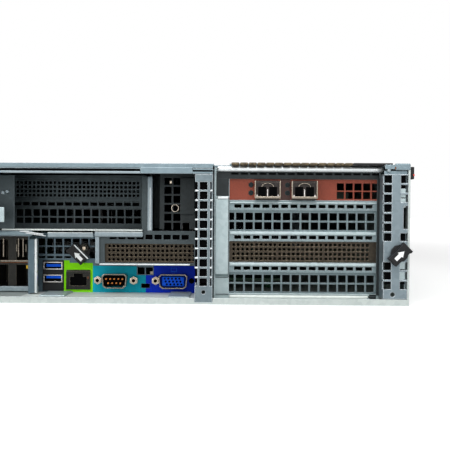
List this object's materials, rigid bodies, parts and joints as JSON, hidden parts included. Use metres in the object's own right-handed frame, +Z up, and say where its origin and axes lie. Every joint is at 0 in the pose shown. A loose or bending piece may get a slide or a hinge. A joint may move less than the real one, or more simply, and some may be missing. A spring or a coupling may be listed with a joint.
{
  "type": "rack server",
  "caption": "Rack server two units high: perforated rear with riser cages, ports and release latches, hot-swap power supplies, fans, slide-out drives, lift-off cover.",
  "frame": {"origin": "centre of the bounding box at its bottom, under the middle of the chassis", "axes": "+X to the right seen from the rear, +Y towards the front (the drives), -Y towards the rear (the ports), +Z up"},
  "size_m": [0.4826, 0.788, 0.088],
  "materials": {
    "galvanised": "galvanised sheet",
    "mesh_steel": "nickel plated",
    "red_bracket": "matte paint",
    "board": "solder resist",
    "port_metal": "nickel plated",
    "fin_metal": "bare",
    "black_plastic": "moulded",
    "blue_plastic": "moulded",
    "drive_body": "painted frame",
    "psu_metal": "galvanised sheet"
  },
  "bodies": {
    "chassis": {"chassis_pan": "galvanised", "rear_beam": "galvanised", "io_wall": "galvanised", "center_post": "galvanised", "right_post": "galvanised", "inner_wall": "galvanised", "low_cage": "galvanised", "low_blank": "mesh_steel", "middle_cage": "galvanised", "middle_blanks": "mesh_steel", "right_cage": "galvanised", "right_blanks": "galvanised", "right_blank_fine": "mesh_steel", "card_bracket": "red_bracket", "card_board": "board", "left_cage": "galvanised", "network_module": "port_metal", "usb_ports": "port_metal", "network_jack": "port_metal", "serial_port": "port_metal", "video_port": "port_metal", "main_board": "board", "heat_sinks": "fin_metal", "air_duct": "black_plastic", "fan_frame": "black_plastic", "drive_cage": "galvanised", "rack_ears": "galvanised"},
    "cover": {"top_cover": "galvanised"},
    "cover_handle": {"cover_handle": "blue_plastic"},
    "power_button": {"power_button": "black_plastic"},
    "transceiver_1": {"transceiver_1": "port_metal"},
    "bail_1": {"bail_1": "port_metal"},
    "psu_1": {"psu_1": "psu_metal"},
    "psu_latch_1": {"psu_latch_1": "blue_plastic"},
    "transceiver_2": {"transceiver_2": "port_metal"},
    "bail_2": {"bail_2": "port_metal"},
    "psu_2": {"psu_2": "psu_metal"},
    "psu_latch_2": {"psu_latch_2": "blue_plastic"},
    "fan_rotor_1": {"fan_rotor_1": "black_plastic"},
    "fan_rotor_2": {"fan_rotor_2": "black_plastic"},
    "fan_rotor_3": {"fan_rotor_3": "black_plastic"},
    "fan_rotor_4": {"fan_rotor_4": "black_plastic"},
    "drive_1": {"drive_1": "drive_body"},
    "lever_1": {"lever_1": "black_plastic"},
    "drive_2": {"drive_2": "drive_body"},
    "lever_2": {"lever_2": "black_plastic"},
    "drive_3": {"drive_3": "drive_body"},
    "lever_3": {"lever_3": "black_plastic"},
    "drive_4": {"drive_4": "drive_body"},
    "lever_4": {"lever_4": "black_plastic"},
    "drive_5": {"drive_5": "drive_body"},
    "lever_5": {"lever_5": "black_plastic"},
    "drive_6": {"drive_6": "drive_body"},
    "lever_6": {"lever_6": "black_plastic"},
    "drive_7": {"drive_7": "drive_body"},
    "lever_7": {"lever_7": "black_plastic"},
    "drive_8": {"drive_8": "drive_body"},
    "lever_8": {"lever_8": "black_plastic"},
    "latch_right": {"latch_right": "black_plastic"},
    "latch_middle": {"latch_middle": "black_plastic"}
  },
  "joints": [
    {"name": "cover_lift", "type": "slide", "parent": "chassis", "child": "cover", "axis": [0, 0, 1], "range_m": [0, 0.05]},
    {"name": "cover_handle_turn", "type": "hinge", "parent": "cover", "child": "cover_handle", "pos_m": [0, 0.1175, 0.0853], "axis": [-1, 0, 0], "range_deg": [0, 80]},
    {"name": "power_press", "type": "slide", "parent": "chassis", "child": "power_button", "axis": [0, -1, 0], "range_m": [0, 0.001], "stiffness_N_per_m": 600},
    {"name": "transceiver_1_slide", "type": "slide", "parent": "chassis", "child": "transceiver_1", "axis": [0, -1, 0], "range_m": [0, 0.06]},
    {"name": "bail_1_turn", "type": "hinge", "parent": "transceiver_1", "child": "bail_1", "pos_m": [0.13555, -0.3588, 0.07535], "axis": [-1, 0, 0], "range_deg": [0, 85]},
    {"name": "psu_1_slide", "type": "slide", "parent": "chassis", "child": "psu_1", "axis": [0, -1, 0], "range_m": [0, 0.19]},
    {"name": "psu_latch_1_press", "type": "hinge", "parent": "psu_1", "child": "psu_latch_1", "pos_m": [-0.1502, -0.333, 0.0214], "axis": [0, 0, -1], "range_deg": [0, 4], "stiffness_Nm_per_rad": 1},
    {"name": "transceiver_2_slide", "type": "slide", "parent": "chassis", "child": "transceiver_2", "axis": [0, -1, 0], "range_m": [0, 0.06]},
    {"name": "bail_2_turn", "type": "hinge", "parent": "transceiver_2", "child": "bail_2", "pos_m": [0.15875, -0.3588, 0.07535], "axis": [-1, 0, 0], "range_deg": [0, 85]},
    {"name": "psu_2_slide", "type": "slide", "parent": "chassis", "child": "psu_2", "axis": [0, -1, 0], "range_m": [0, 0.19]},
    {"name": "psu_latch_2_press", "type": "hinge", "parent": "psu_2", "child": "psu_latch_2", "pos_m": [-0.1502, -0.333, 0.062], "axis": [0, 0, -1], "range_deg": [0, 4], "stiffness_Nm_per_rad": 1},
    {"name": "fan_1_spin", "type": "hinge", "parent": "chassis", "child": "fan_rotor_1", "pos_m": [-0.15, 0.15, 0.042], "axis": [0, 1, 0], "continuous": true},
    {"name": "fan_2_spin", "type": "hinge", "parent": "chassis", "child": "fan_rotor_2", "pos_m": [-0.05, 0.15, 0.042], "axis": [0, 1, 0], "continuous": true},
    {"name": "fan_3_spin", "type": "hinge", "parent": "chassis", "child": "fan_rotor_3", "pos_m": [0.05, 0.15, 0.042], "axis": [0, 1, 0], "continuous": true},
    {"name": "fan_4_spin", "type": "hinge", "parent": "chassis", "child": "fan_rotor_4", "pos_m": [0.15, 0.15, 0.042], "axis": [0, 1, 0], "continuous": true},
    {"name": "latch_right_turn", "type": "hinge", "parent": "chassis", "child": "latch_right", "pos_m": [0.216, -0.37, 0.0325], "axis": [0, -1, 0], "range_deg": [0, 90]},
    {"name": "latch_middle_turn", "type": "hinge", "parent": "chassis", "child": "latch_middle", "pos_m": [0.011, -0.324, 0.0294], "axis": [0, 1, 0], "range_deg": [0, 90]},
    {"name": "drive_1_slide", "type": "slide", "parent": "chassis", "child": "drive_1", "axis": [0, 1, 0], "range_m": [0, 0.165]},
    {"name": "lever_1_turn", "type": "hinge", "parent": "drive_1", "child": "lever_1", "pos_m": [-0.2099, 0.392, 0.0195], "axis": [0, 0, 1], "range_deg": [0, 60]},
    {"name": "drive_2_slide", "type": "slide", "parent": "chassis", "child": "drive_2", "axis": [0, 1, 0], "range_m": [0, 0.165]},
    {"name": "lever_2_turn", "type": "hinge", "parent": "drive_2", "child": "lever_2", "pos_m": [-0.1023, 0.392, 0.0195], "axis": [0, 0, 1], "range_deg": [0, 60]},
    {"name": "drive_3_slide", "type": "slide", "parent": "chassis", "child": "drive_3", "axis": [0, 1, 0], "range_m": [0, 0.165]},
    {"name": "lever_3_turn", "type": "hinge", "parent": "drive_3", "child": "lever_3", "pos_m": [0.0053, 0.392, 0.0195], "axis": [0, 0, 1], "range_deg": [0, 60]},
    {"name": "drive_4_slide", "type": "slide", "parent": "chassis", "child": "drive_4", "axis": [0, 1, 0], "range_m": [0, 0.165]},
    {"name": "lever_4_turn", "type": "hinge", "parent": "drive_4", "child": "lever_4", "pos_m": [0.1129, 0.392, 0.0195], "axis": [0, 0, 1], "range_deg": [0, 60]},
    {"name": "drive_5_slide", "type": "slide", "parent": "chassis", "child": "drive_5", "axis": [0, 1, 0], "range_m": [0, 0.165]},
    {"name": "lever_5_turn", "type": "hinge", "parent": "drive_5", "child": "lever_5", "pos_m": [-0.2099, 0.392, 0.0475], "axis": [0, 0, 1], "range_deg": [0, 60]},
    {"name": "drive_6_slide", "type": "slide", "parent": "chassis", "child": "drive_6", "axis": [0, 1, 0], "range_m": [0, 0.165]},
    {"name": "lever_6_turn", "type": "hinge", "parent": "drive_6", "child": "lever_6", "pos_m": [-0.1023, 0.392, 0.0475], "axis": [0, 0, 1], "range_deg": [0, 60]},
    {"name": "drive_7_slide", "type": "slide", "parent": "chassis", "child": "drive_7", "axis": [0, 1, 0], "range_m": [0, 0.165]},
    {"name": "lever_7_turn", "type": "hinge", "parent": "drive_7", "child": "lever_7", "pos_m": [0.0053, 0.392, 0.0475], "axis": [0, 0, 1], "range_deg": [0, 60]},
    {"name": "drive_8_slide", "type": "slide", "parent": "chassis", "child": "drive_8", "axis": [0, 1, 0], "range_m": [0, 0.165]},
    {"name": "lever_8_turn", "type": "hinge", "parent": "drive_8", "child": "lever_8", "pos_m": [0.1129, 0.392, 0.0475], "axis": [0, 0, 1], "range_deg": [0, 60]}
  ]
}
